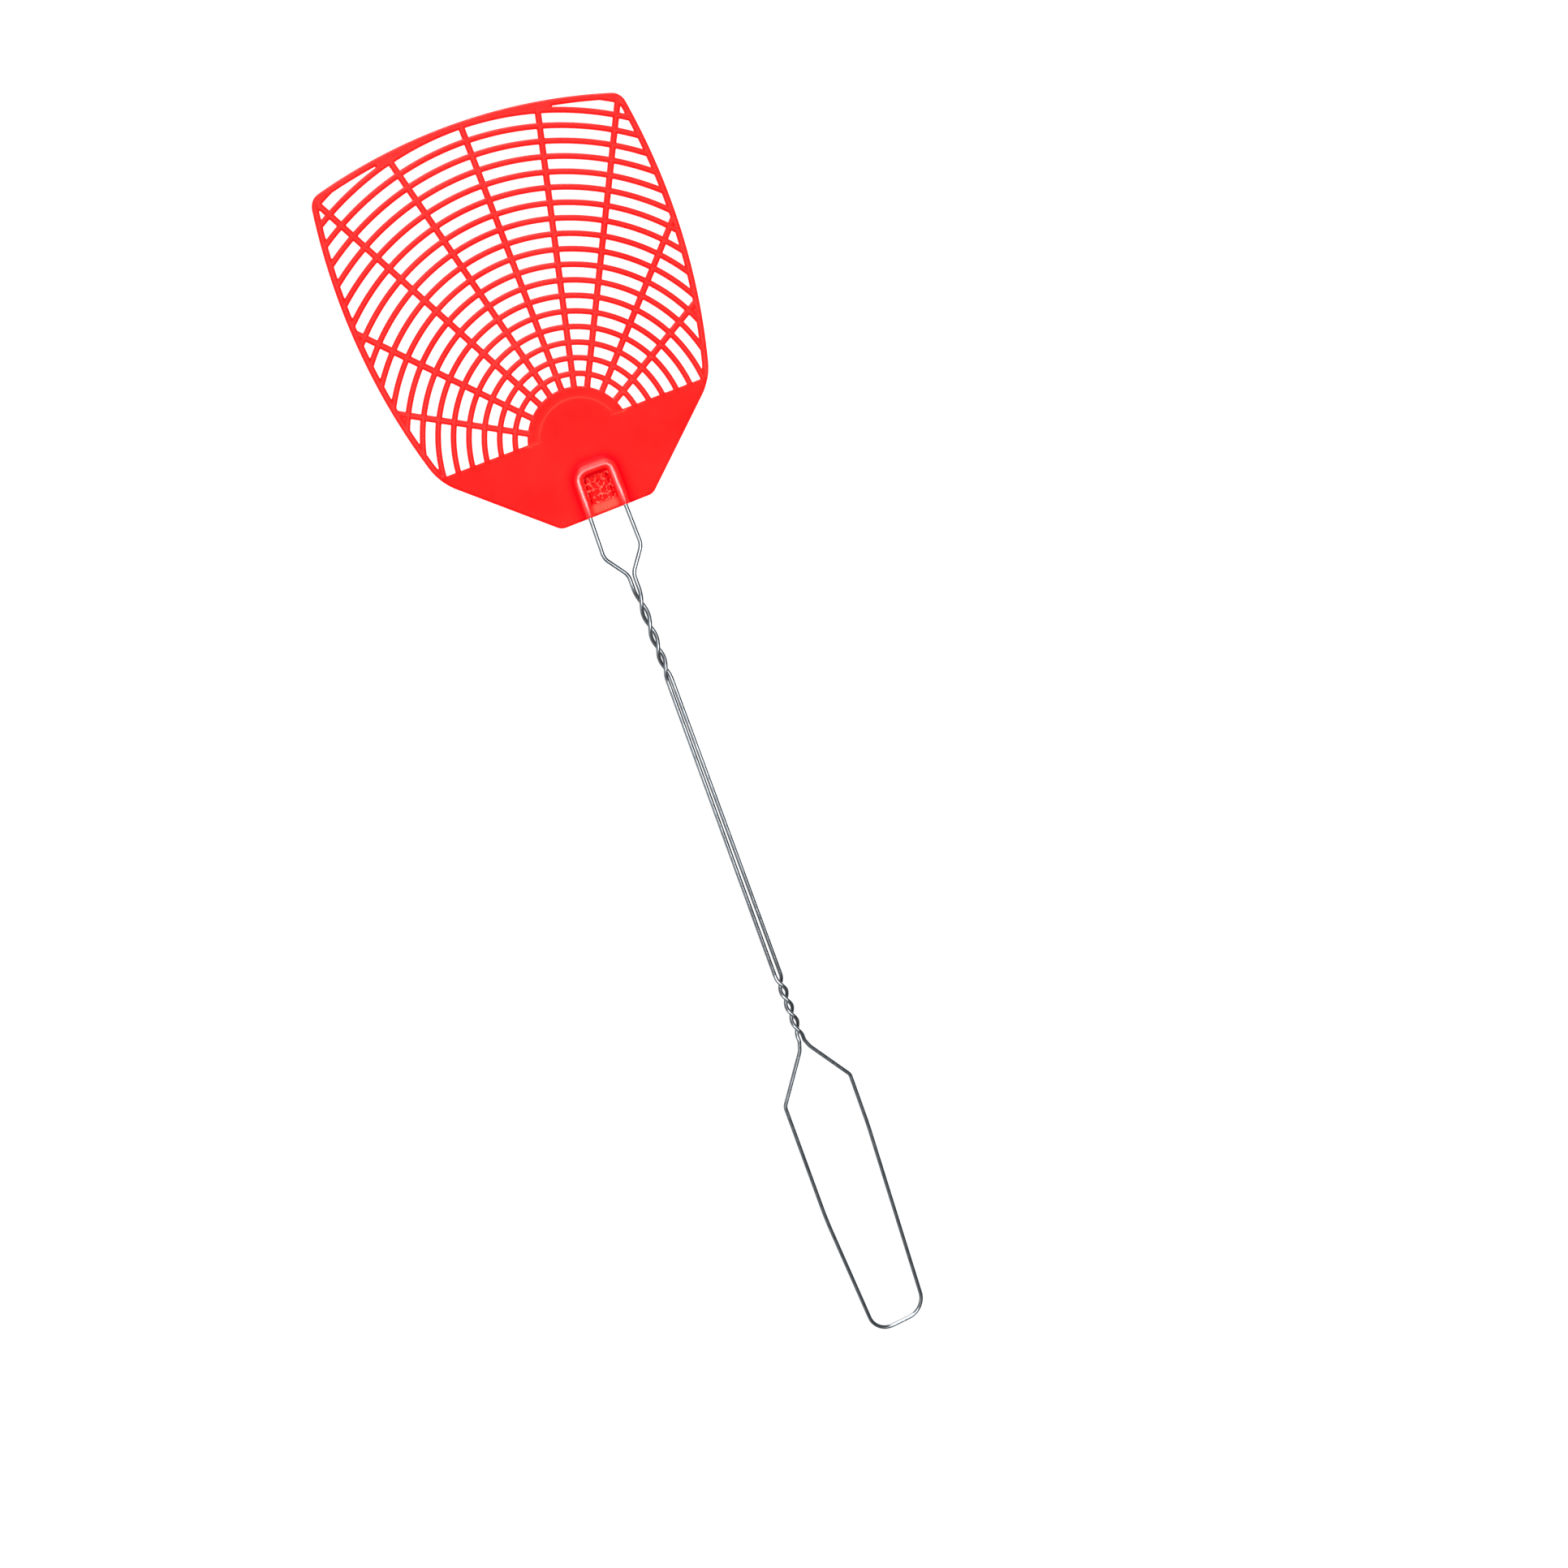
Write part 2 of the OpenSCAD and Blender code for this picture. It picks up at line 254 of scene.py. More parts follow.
def outline(inset):
    """The whole outline moved inwards by inset, anticlockwise. Every inset has the same number of points."""
    half = []
    for c, r, a0, a1 in outline_parts():
        n = max(4, int(abs(a1 - a0) * r / OUTLINE_STEP))
        arc = [c + (r - inset) * np.array([math.cos(a), math.sin(a)]) for a in np.linspace(a0, a1, n + 1)]
        if half:
            span = np.linalg.norm(on_arc(c, r, a0) - last_end)
            m = max(1, int(span / OUTLINE_STEP))
            half += [half[-1] + (arc[0] - half[-1]) * k / m for k in range(1, m)]
        half += arc if not half or np.linalg.norm(half[-1] - arc[0]) > 1e-6 else arc[1:]
        last_end = on_arc(c, r, a1)
    m = int(half[0][0] / EXIT_STEP)
    bottom = [np.array([half[0][0] * k / m, half[0][1]]) for k in range(m)]
    right = bottom + half
    left = [np.array([-p[0], p[1]]) for p in reversed(right[1:-1])]
    return np.array(right + left)


def on_arc(c, r, a):
    return c + r * np.array([math.cos(a), math.sin(a)])


def ring_r(j):
    return HUB_R + RING_PITCH * j * (1 - RING_CLOSING * j)


def clip_convex(poly, clip):
    """Sutherland-Hodgman: poly cut by the convex anticlockwise polygon clip."""
    out = list(poly)
    for i in range(len(clip)):
        a, b = clip[i], clip[(i + 1) % len(clip)]
        e = b - a
        if not out:
            return out
        side = [e[0] * (p[1] - a[1]) - e[1] * (p[0] - a[0]) for p in out]
        if min(side) >= 0:
            continue
        new = []
        for k in range(len(out)):
            p, q, sp, sq = out[k - 1], out[k], side[k - 1], side[k]
            if (sp >= 0) != (sq >= 0):
                new.append(p + (q - p) * sp / (sp - sq))
            if sq >= 0:
                new.append(q)
        out = new
    return out


def sector_cell(j, low, high, shrink):
    """One opening between two rings and two spokes, its sides moved inwards by shrink.

    low and high are the spokes' angles; None stands for the plate's edge.
    """
    ra = ring_r(j) + RING_W / 2 + shrink
    rb = ring_r(j + 1) - RING_W / 2 - shrink
    edge = PLATE_EDGE + shrink

    def corner(r, angle, side):
        if angle is None:
            x = math.sqrt(r * r - edge * edge) if r > edge else 0.0
            return math.atan2(-side * x, edge)
        a = math.radians(angle)
        along = np.array([math.sin(a), math.cos(a)])
        start = np.array([0.0, -SPOKE_ORIGIN]) + side * (SPOKE_W / 2 + shrink) * np.array([along[1], -along[0]])
        b = start @ along
        p = start + along * (-b + math.sqrt(b * b - start @ start + r * r))
        return math.atan2(p[0], p[1])

    inner = corner(ra, low, 1), corner(ra, high, -1)
    outer = corner(rb, low, 1), corner(rb, high, -1)
    if inner[1] <= inner[0] or outer[1] <= outer[0] or rb <= ra:
        return []

    def arc(r, ends):
        n = max(2, int((ends[1] - ends[0]) * r / CELL_STEP))
        return [np.array([r * math.sin(a), r * math.cos(a)]) for a in np.linspace(ends[0], ends[1], n + 1)]

    def side(p, q):
        n = max(1, int(np.linalg.norm(q - p) / CELL_STEP))
        return [p + (q - p) * k / n for k in range(1, n)]

    far, near = arc(rb, outer), arc(ra, inner)
    return near + side(near[-1], far[-1]) + far[::-1] + side(far[0], near[0])


def area_of(p):
    p = np.asarray(p)
    q = np.roll(p, -1, 0)
    return float((p[:, 0] * q[:, 1] - q[:, 0] * p[:, 1]).sum() / 2)


def cleaned(poly):
    """Neighbouring points that nearly coincide are merged."""
    out = []
    for p in poly:
        if not out or np.linalg.norm(p - out[-1]) > MERGE_DISTANCE:
            out.append(p)
    while len(out) > 2 and np.linalg.norm(out[0] - out[-1]) <= MERGE_DISTANCE:
        out.pop()
    return out


def rays(poly):
    """(point, outward direction) pairs round a polygon: a corner gets a fan of them."""
    out = []
    n = len(poly)
    for i in range(n):
        p = poly[i]
        u, v = unit(p - poly[i - 1]), unit(poly[(i + 1) % n] - p)
        turn = math.atan2(u[0] * v[1] - u[1] * v[0], u @ v)
        na, nb = np.array([u[1], -u[0]]), np.array([v[1], -v[0]])
        if turn > CORNER_TURN:
            steps = max(2, int(math.ceil(turn / CORNER_TURN)))
            for k in range(steps + 1):
                w = turn * k / steps
                c, s = math.cos(w), math.sin(w)
                out.append((p, np.array([na[0] * c - na[1] * s, na[0] * s + na[1] * c])))
        else:
            out.append((p, unit(na + nb)))
    return out


def openings():
    """Every opening of the grid as (point, outward direction) pairs; the wall is at distance FILLET."""
    limit = outline(RIM_W + FILLET)
    bounds = [None, *(-a for a in reversed(SPOKE_ANGLES)), 0.0, *SPOKE_ANGLES, None]
    cells = []
    for j in range(RING_COUNT + 1):
        for low, high in zip(bounds, bounds[1:]):
            poly = sector_cell(j, low, high, FILLET)
            if not poly:
                continue
            if area_of(poly) < 0:
                poly = poly[::-1]
            poly = cleaned(clip_convex(poly, limit))
            if len(poly) >= 3 and area_of(poly) > MIN_AREA:
                cells.append(rays(poly))
    return cells


# ---- height of the striking face -------------------------------------------

def smooth(x, a, b):
    t = np.clip((x - a) / (b - a), 0, 1)
    return t * t * (3 - 2 * t)


def to_handle(x, y):
    """Blade coordinates to the leaning handle's own."""
    a = math.radians(HANDLE_LEAN)
    dx, dy = x, y + LEAN_PIVOT
    return dx * math.cos(a) - dy * math.sin(a), dx * math.sin(a) + dy * math.cos(a) - LEAN_PIVOT


def from_handle(p):
    a = math.radians(HANDLE_LEAN)
    dx, dy = p[..., 0], p[..., 1] + LEAN_PIVOT
    return np.stack([dx * math.cos(a) + dy * math.sin(a), -dx * math.sin(a) + dy * math.cos(a) - LEAN_PIVOT], -1)


def bend_points(p, q, s, r, step):
    u, v = unit(q - p), unit(s - q)
    turn = math.atan2(u[0] * v[1] - u[1] * v[0], u @ v)
    hand = math.copysign(1, turn)
    start = q - u * r * math.tan(abs(turn) / 2)
    centre = start + hand * r * np.array([-u[1], u[0]])
    arm = start - centre
    n = max(1, int(math.ceil(abs(turn) / step)))
    out = []
    for k in range(n + 1):
        c, s_ = math.cos(turn * k / n), math.sin(turn * k / n)
        out.append(centre + np.array([arm[0] * c - arm[1] * s_, arm[0] * s_ + arm[1] * c]))
    return out


def bent(path, radii, step=math.radians(5)):
    path = [np.array(p, float) for p in path]
    out = [path[0]]
    for i in range(1, len(path) - 1):
        out += bend_points(path[i - 1], path[i], path[i + 1], radii[i - 1], step)
    return np.array(out + [path[-1]])


HOOK_LINE = bent(
    [(-LEG_END, -FORK_Y), (-LEG_TOP, -HOOK_Y), (LEG_TOP, -HOOK_Y), (LEG_END, -FORK_Y)],
    [LEFT_HOOK_BEND, RIGHT_HOOK_BEND],
)


def line_distance(u, v, line):
    best = np.full(np.shape(u), 1e9)
    for a, b in zip(line, line[1:]):
        e = b - a
        t = np.clip(((u - a[0]) * e[0] + (v - a[1]) * e[1]) / (e @ e), 0, 1)
        best = np.minimum(best, np.hypot(u - a[0] - t * e[0], v - a[1] - t * e[1]))
    return best


def face_height(x, y):
    """Height of the striking face above the flat back, in millimetres."""
    x, y = np.asarray(x, float), np.asarray(y, float)
    r = np.hypot(x, y)
    raised = smooth(y, PLATE_EDGE - 0.75, PLATE_EDGE - 0.35)
    near_hub = 1 - smooth(r, HUB_R + 0.2, HUB_R + 1.4)
    in_hub = 1 - smooth(r, HUB_BOSS_R - 0.09, HUB_BOSS_R + 0.09)
    fade = smooth(np.abs(x), HUB_R - 9.0, HUB_R - 2.5)
    z = PLATE_T + (RIB_T - PLATE_T) * raised
    hub_z = z * fade + (PLATE_T + (RIB_T - PLATE_T) * smooth(y, -2, 9)) * (1 - fade)
    z = z * (1 - near_hub) + hub_z * near_hub
    z = z + (HUB_T - RIB_T) * in_hub * smooth(y, -1, 7)
    in_grid = smooth(y, PLATE_EDGE + 0.1, PLATE_EDGE + 0.8) * smooth(r, HUB_R + 0.9, HUB_R + 1.6)
    return z - rod_drop(x, y, r) * in_grid + pocket_height(x, y)


def rod_drop(x, y, r):
    """How far the surface of the nearest round-topped rib lies below the ribs' full height."""
    rods = [np.abs(r - ring_r(j)) / (RING_W / 2) for j in range(1, RING_COUNT + 1)]
    rods.append(np.abs(rim_gap(x, y) - RIM_W / 2) / (RIM_W / 2))
    nearest = np.minimum.reduce(rods)
    spokes = [spoke_gap(x, y, a) for a in (0.0, *SPOKE_ANGLES, *(-a for a in SPOKE_ANGLES))]
    spoke = np.minimum.reduce(spokes) / (SPOKE_W / 2)
    low = RING_W / 2 * (1 - np.sqrt(1 - np.minimum(nearest, 0.98) ** 2))
    low_spoke = SPOKE_DROP + SPOKE_W / 2 * (1 - np.sqrt(1 - np.minimum(spoke, 0.98) ** 2))
    beyond = smooth(r, ring_r(RING_COUNT), ring_r(RING_COUNT) + 0.3)
    low_spoke = low_spoke + beyond
    return np.minimum(np.minimum(low, low_spoke), ROD_DROP_MOST + (GROOVE_DEPTH - ROD_DROP_MOST) * beyond)


def spoke_gap(x, y, degrees):
    a = math.radians(degrees)
    return np.abs(x * math.cos(a) - (y + SPOKE_ORIGIN) * math.sin(a)) + 9.0 * (x * math.sin(a) + y * math.cos(a) < 0)


def rim_gap(x, y):
    """Rough distance inside the blade's outline, enough to tell the rim from the grid."""
    side = SIDE_R - np.hypot(np.abs(x) - SIDE_C[0], y - SIDE_C[1])
    top = TOP_R - np.hypot(x, y - TOP_CY)
    slope = SLOPE_DIST - (np.abs(x) * SLOPE_N[0] + y * SLOPE_N[1])
    return np.minimum(np.minimum(side, top), slope)


def pocket_height(x, y):
    u, v = to_handle(x, y)
    d = ridge_distance(u, v)
    near_exit = smooth(-v, BLADE_BOTTOM - EXIT_RUN, BLADE_BOTTOM + 1.0)
    height = (RIDGE_TOP - PLATE_T) * (1 - EXIT_DROP * near_exit)
    width = RIDGE_W * (1 - EXIT_DROP * near_exit)
    ridge = height * (0.5 + 0.5 * np.cos(math.pi * np.minimum(d / width, 1) ** CREST_BREADTH))
    skirt = SKIRT_RISE * np.exp(-((d / SKIRT_W) ** 2))
    inner = inner_mask(u, v)
    sink = -FLOOR_DROP * (1 - smooth(-v, 20.9, 24.6)) + LIP_RISE * smooth(-v, 21.0, 24.9)
    return ridge + skirt * (1 - inner) + inner * sink - pits(u, v) * inner


def ridge_distance(u, v):
    return line_distance(u - CREST_SHIFT, v, HOOK_LINE)


def inner_mask(u, v):
    """1 on the floor between the ridge's legs, fading out under the ridge."""
    return (1 - smooth(np.abs(u), LEG_TOP - 2.9, LEG_TOP - 0.2)) * (1 - smooth(v, -HOOK_Y - 3.2, -HOOK_Y - 0.3))


def pit_distance(u, v):
    """Distance outside the nearest weld pit; each pit is a slightly different square."""
    best = np.full(np.shape(u), 1e9)
    for i in range(PIT_COUNT):
        for j in range(PIT_COUNT):
            shift_u, shift_v, grow = PIT_VARIATION[i, j]
            cu = (i - (PIT_COUNT - 1) / 2) * PIT_PITCH + shift_u
            cv = (j - (PIT_COUNT - 1) / 2) * PIT_PITCH + shift_v - PIT_Y
            d = np.maximum(np.abs(u - cu), np.abs(v - cv)) - PIT_W / 2 - grow
            best = np.minimum(best, d)
    return best


PIT_VARIATION = np.random.default_rng(7).uniform(-0.06, 0.06, (PIT_COUNT, PIT_COUNT, 3))


def pits(u, v):
    d = pit_distance(u, v)
    hole = PIT_DEPTH * (1 - smooth(d, -0.08, 0.08))
    lip = PIT_BURR * np.exp(-(((d - 0.2) / 0.12) ** 2)) * (1 - smooth(d, 0.4, 0.5))
    torn = 0.45 + 0.55 * np.sin(9.1 * u + 4.0 * np.sin(3.3 * v)) * np.sin(7.7 * v + 3.0 * np.sin(2.9 * u))
    return hole - lip * torn


def back_height(x, y):
    """Height of the back: flat, with a recess that takes the flap."""
    play = RECESS_WALL / 2
    inside = (np.abs(x) < FLAP_HALF_W + play) & (y < -FLAP_TOP + play)
    return np.where(inside, FLAP_T + RECESS_PLAY, 0.0)


# ---- the blade's mesh -------------------------------------------------------

def spread(lo, hi, step, marks=()):
    """Grid lines from lo to hi about step apart, with lines at the marks as well."""
    base = np.linspace(lo, hi, int((hi - lo) / step) + 1)
    marks = [m for m in marks if lo < m < hi]
    keep = [b for b in base if all(abs(b - m) > step * 0.45 for m in marks)]
    return np.array(sorted(keep + list(marks)))


def pit_marks(offset=0.0):
    out = []
    for i in range(PIT_COUNT):
        c = (i - (PIT_COUNT - 1) / 2) * PIT_PITCH + offset
        for s in (-1, 1):
            out += [c + s * (PIT_W / 2 + e) for e in (-0.09, 0.09, 0.22)]
    return out


def inner_points():
    """Points spread over the solid plate, closely round the wire pocket."""
    reach = PIT_PITCH * PIT_COUNT / 2 + 0.15
    uu, vv = np.meshgrid(spread(-10.4, 10.4, POCKET_STEP), spread(-24.6, -5.9, POCKET_STEP))
    coarse_net = np.stack([uu.ravel(), vv.ravel()], 1)
    outside = (np.abs(coarse_net[:, 0]) > reach + 0.1) | (np.abs(coarse_net[:, 1] + PIT_Y) > reach + 0.1)
    uu, vv = np.meshgrid(spread(-reach, reach, PIT_STEP), spread(-reach - PIT_Y, reach - PIT_Y, PIT_STEP))
    fine_net = np.stack([uu.ravel(), vv.ravel()], 1)
    pocket = from_handle(np.concatenate([coarse_net[outside], fine_net]))
    inside_flap = (np.abs(pocket[:, 0]) < FLAP_HALF_W - 0.25) & (pocket[:, 1] < -FLAP_TOP - 0.25)
    pocket = pocket[inside_flap & (pocket[:, 1] > -BLADE_BOTTOM + EDGE_R + 0.25)]
    coarse = []
    for y in np.arange(PLATE_NET_LOW, PLATE_EDGE - 0.9, PLATE_STEP_Y):
        for x in np.arange(-PLATE_NET_HALF_W, PLATE_NET_HALF_W + 0.1, PLATE_STEP_X):
            if abs(x) < FLAP_HALF_W + 0.6 and y < -FLAP_TOP + 0.6:
                continue
            if abs(x) * SLOPE_N[0] + y * SLOPE_N[1] > SLOPE_DIST - 2.0:
                continue
            coarse.append((x + 0.4 * (int(y * 10) % 2), y))
    hub = []
    for r in (HUB_BOSS_R - 0.3, HUB_BOSS_R - 0.08, HUB_BOSS_R + 0.08, HUB_BOSS_R + 0.3, HUB_R - 0.9):
        n = int(2 * math.pi * r / 0.5)
        for k in range(n):
            a = 2 * math.pi * k / n
            p = (r * math.sin(a), r * math.cos(a))
            if p[1] > PLATE_EDGE - 8:
                hub.append(p)
    for y in (PLATE_EDGE - 0.8, PLATE_EDGE - 0.55, PLATE_EDGE - 0.3):
        for x in np.arange(-44.5, 44.6, 0.55):
            hub.append((x, y))
    for y in np.arange(PLATE_EDGE, 13.0, 0.8):
        for x in np.arange(-12, 12.1, 0.8):
            if math.hypot(x, y) < HUB_BOSS_R - 0.8:
                hub.append((x, y))
    return np.concatenate([pocket, np.array(coarse), np.array(hub)])


def clear_points(points, rims):
    """Points that lie on the blade, outside every opening and not too near any loop."""
    points = np.concatenate([points, wide_places()])
    tree = kdtree.KDTree(sum(len(r) for r in rims))
    index = 0
    for rim in rims:
        for p in rim:
            tree.insert((p[0], p[1], 0), index)
            index += 1
    tree.balance()
    keep = np.array([tree.find((p[0], p[1], 0))[2] > LOOP_CLEARANCE for p in points])
    points = points[keep & inside_many(points, rims[0])]
    bad = np.zeros(len(points), bool)
    for rim in rims[1:]:
        low, high = rim.min(0), rim.max(0)
        near = np.where((points >= low).all(1) & (points <= high).all(1))[0]
        bad[near[inside_many(points[near], rim)]] = True
    return points[~bad]


def inside_many(points, poly):
    x, y = poly[:, 0], poly[:, 1]
    x2, y2 = np.roll(x, -1), np.roll(y, -1)
    px, py = points[:, :1], points[:, 1:2]
    cross = ((y > py) != (y2 > py)) & (px < (x2 - x) * (py - y) / (y2 - y + 1e-30) + x)
    return cross.sum(1) % 2 == 1


def wide_places():
    """A fine net over the grid half: only its points on wide solid places are kept later."""
    xx, yy = np.meshgrid(np.arange(-57, 57.1, NET_STEP), np.arange(PLATE_EDGE + 1.2, BLADE_TOP, NET_STEP))
    net = np.stack([xx.ravel(), yy.ravel()], 1)
    return net[np.hypot(net[:, 0], net[:, 1]) > HUB_R + 1.2]


def groove_lines():
    """Points where the outermost ring runs into the rim: on its crest, in the groove and on the rim's crest."""
    outer = ring_r(RING_COUNT)
    points = []
    for side in (-1, 1):
        for a in np.arange(0.02, 0.6, GROOVE_STEP / outer):
            ray = np.array([side * math.sin(a), math.cos(a)])
            gap = float(rim_gap(*(ray * outer))) - RIM_W / 2
            if 0.45 < gap < (RING_W + RIM_W) / 2 + 0.25:
                points += [ray * (outer + gap * share) for share in (0.0, 0.5, 1.0)]
    return np.array(points)


def wall_rows(points, dirs):
    """One wall's loops from the back to the face: (points, the surface they belong to, distance from it)."""
    rows = []
    for k in range(BACK_STEPS + 1):
        a = math.pi / 2 * k / BACK_STEPS
        rows.append((points + dirs * BACK_R * (1 - math.sin(a)), "back", BACK_R * (1 - math.cos(a))))
    for k in range(EDGE_STEPS + 1):
        a = math.pi / 2 * k / EDGE_STEPS
        rows.append((points + dirs * EDGE_R * (1 - math.cos(a)), "face", EDGE_R * (1 - math.sin(a))))
    return rows


def blade_walls():
    """The rows of every wall: the outline's first, then one set for each opening."""
    edge = outline(0.0)
    tangent = np.roll(edge, -1, 0) - np.roll(edge, 1, 0)
    tangent /= np.linalg.norm(tangent, axis=1)[:, None]
    walls = [wall_rows(edge, np.stack([-tangent[:, 1], tangent[:, 0]], 1))]
    for cell in openings():
        base = np.array([p for p, _ in cell])
        dirs = np.array([d for _, d in cell])
        walls.append(wall_rows(base + dirs * FILLET, dirs))
    return walls


def recess_lines():
    """The outline of the flap's recess on the back, twice and close together, which gives it a wall."""
    lines = []
    for grow in (0.0, RECESS_WALL):
        w, top = FLAP_HALF_W + grow, -FLAP_TOP + grow
        line = [(-w, y) for y in np.arange(RECESS_LOW, top, RECESS_STEP)]
        line += [(x, top) for x in np.arange(-w, w, RECESS_TOP_STEP)]
        line += [(w, y) for y in np.arange(RECESS_LOW, top + 0.01, RECESS_STEP)[::-1]]
        lines.append(line)
    return lines


def on_blade(flat, tris, loop_of, polys):
    """The triangles that lie on the blade, all turned the same way."""
    kept = []
    for t in tris:
        owners = {loop_of[i] for i in t}
        if len(owners) == 1:
            k = owners.pop()
            if k >= 0 and inside_many(flat[list(t)].mean(0)[None], polys[k])[0] == (k > 0):
                continue
        a, b, c = (flat[i] for i in t)
        if (b[0] - a[0]) * (c[1] - a[1]) - (b[1] - a[1]) * (c[0] - a[0]) < 0:
            t = (t[0], t[2], t[1])
        kept.append(tuple(t))
    return kept


def build_blade():
    """The whole moulding: a flat triangulation lifted to the face's height, a back and the rounded walls."""
    walls = blade_walls()
    rims = [rows[-1][0] for rows in walls]
    starts = np.cumsum([0, *map(len, rims)])
    plan, edges = [], []
    for start, rim in zip(starts, rims):
        n = len(rim)
        plan += [Vector(p) for p in rim]
        edges += [(start + i, start + (i + 1) % n) for i in range(n)]
    grooves = groove_lines()
    net = np.array([p for p in inner_points() if np.hypot(*(grooves - p).T).min() > GROOVE_STEP])
    plan += [Vector(p) for p in clear_points(np.concatenate([net, grooves]), rims_of(plan, starts))]
    for line in recess_lines():
        edges += [(len(plan) + i, len(plan) + i + 1) for i in range(len(line) - 1)]
        plan += [Vector(p) for p in line]

    flat, _, tris, from_vert = delaunay_2d_cdt(plan, edges, [], 0, 1e-6, True)[:4]
    flat = np.array([(v.x, v.y) for v in flat])
    origin = [ids[0] if ids else -1 for ids in from_vert]
    loop_of = [int(np.searchsorted(starts, o, "right")) - 1 if 0 <= o < starts[-1] else -1 for o in origin]
    kept = on_blade(flat, tris, loop_of, rims_of(plan, starts))
    flat_of_plan = {o: i for i, o in enumerate(origin) if 0 <= o < starts[-1]}

    # the back's rim lies further out than the face's, as its rounding is smaller
    back_xy = flat.copy()
    for start, rows in zip(starts, walls):
        for i, p in enumerate(rows[0][0]):
            if start + i in flat_of_plan:
                back_xy[flat_of_plan[start + i]] = p
    total = len(flat)
    top = np.column_stack([flat, face_height(flat[:, 0], flat[:, 1])])
    bottom = np.column_stack([back_xy, back_height(back_xy[:, 0], back_xy[:, 1])])
    verts = [*map(tuple, top), *map(tuple, bottom)]
    faces = []
    for a, b, c in kept:
        faces.append((a, b, c))
        faces.append((total + a, total + c, total + b))
    for index, (start, rows) in enumerate(zip(starts, walls)):
        rim_xy, low_xy = rows[-1][0], rows[0][0]
        n = len(rim_xy)
        h = face_height(rim_xy[:, 0], rim_xy[:, 1])
        low = back_height(low_xy[:, 0], low_xy[:, 1])
        last = [flat_of_plan[start + i] for i in range(n)]
        chain = [[total + i for i in last]]
        for xy, kind, drop in rows[1:-1]:
            z = low + drop if kind == "back" else h - drop
            chain.append(list(range(len(verts), len(verts) + n)))
            verts += [(xy[i, 0], xy[i, 1], z[i]) for i in range(n)]
        chain.append(last)
        for lower, upper in zip(chain, chain[1:]):
            for i in range(n):
                j = (i + 1) % n
                quad = (lower[i], lower[j], upper[j], upper[i])
                faces.append(quad if index == 0 else quad[::-1])
    obj = make_mesh("blade", verts, faces)
    mark_surface(obj)
    return obj


def rims_of(plan, starts):
    return [np.array([tuple(p) for p in plan[a:b]])[:, :2] for a, b in zip(starts, starts[1:])]


def mark_surface(obj):
    """Masks for the material: how far the plastic was drawn over the wire, painted shade (a deeper red) round the
    ridge, on the pocket's floor and in the weld pits, painted highlights (a lighter red) on the floor's lower lip,
    the hub disc's edge and the plate's edge, and where the grid is.
    """
    count = len(obj.data.vertices)
    co = np.empty(count * 3)
    obj.data.vertices.foreach_get("co", co)
    co = co.reshape(-1, 3) / MM
    x, y = co[:, 0], co[:, 1] - HUB_Y
    u, v = to_handle(x, y)
    d = ridge_distance(u, v)
    front = co[:, 2] > FLAP_T + 0.1
    crest = (1 - smooth(d, *CREST_FADE)) * front * (1 - EXIT_DIM * smooth(-v, *EXIT_FADE))
    crest *= 1 - BAR_DIM * smooth(v, -HOOK_Y - 2.5, -HOOK_Y)
    crest *= 1 - BAR_SIDE_DIM * smooth(v, -HOOK_Y + 0.7, -HOOK_Y + 1.15)
    # painted shade: a deeper red over the ridge's skirts, on the floor inside the ridge and in the weld pits
    painted_shade_mask = np.exp(-((d / PAINTED_SHADE_W) ** 4)) * smooth(d, 1.0, 2.0) * front
    painted_shade_mask = PAINTED_SHADE_DEPTH * np.maximum(painted_shade_mask, inner_mask(u, v) * (1 - smooth(-v, 20.4, 23.2)) * front)
    pit = pit_distance(u, v)
    painted_shade_mask = np.maximum(painted_shade_mask, (1 - smooth(pit, -0.1, 0.1)) * front)
    burr = np.exp(-(((pit - 0.2) / 0.13) ** 2)) * (1 - smooth(pit, 0.4, 0.55)) * front
    # painted highlight: a lighter red on the floor's rising lip by the bottom edge, the hub disc's edge and the
    # plate's edge
    lip = inner_mask(u, v) * smooth(-v, 20.9, 22.0) * (1 - smooth(-v, 23.6, 25.0)) * front
    r = np.hypot(x, y)
    arc = DISC_EDGE_HIGHLIGHT * np.exp(-(((r - HUB_BOSS_R) / DISC_EDGE_HIGHLIGHT_W) ** 2)) * smooth(y, 2.0, 8.0)
    plate_edge_highlight = np.exp(-(((y - PLATE_EDGE + 0.55) / PLATE_EDGE_HIGHLIGHT_W) ** 2)) * smooth(np.abs(x), HUB_R - 6.0, HUB_R - 2.0)
    plate_edge_highlight *= PLATE_EDGE_HIGHLIGHT * (1 - smooth(np.abs(x), HUB_R, HUB_R + 1.5))
    lip = np.maximum(lip, np.maximum(arc, plate_edge_highlight) * front)
    grid = smooth(y, PLATE_EDGE - 0.2, PLATE_EDGE + 0.4) * smooth(r, HUB_R + 0.1, HUB_R + 0.8)
    # the bent mask carries the painted highlights; the painted shade mask carries the deeper red
    set_masks(obj, drawn=crest, pressed=painted_shade_mask, whitened=burr, bent=lip, grid=grid)


def set_masks(obj, **masks):
    for name, values in masks.items():
        layer = obj.data.attributes.new(name, "FLOAT", "POINT")
        layer.data.foreach_set("value", values.astype(np.float32))


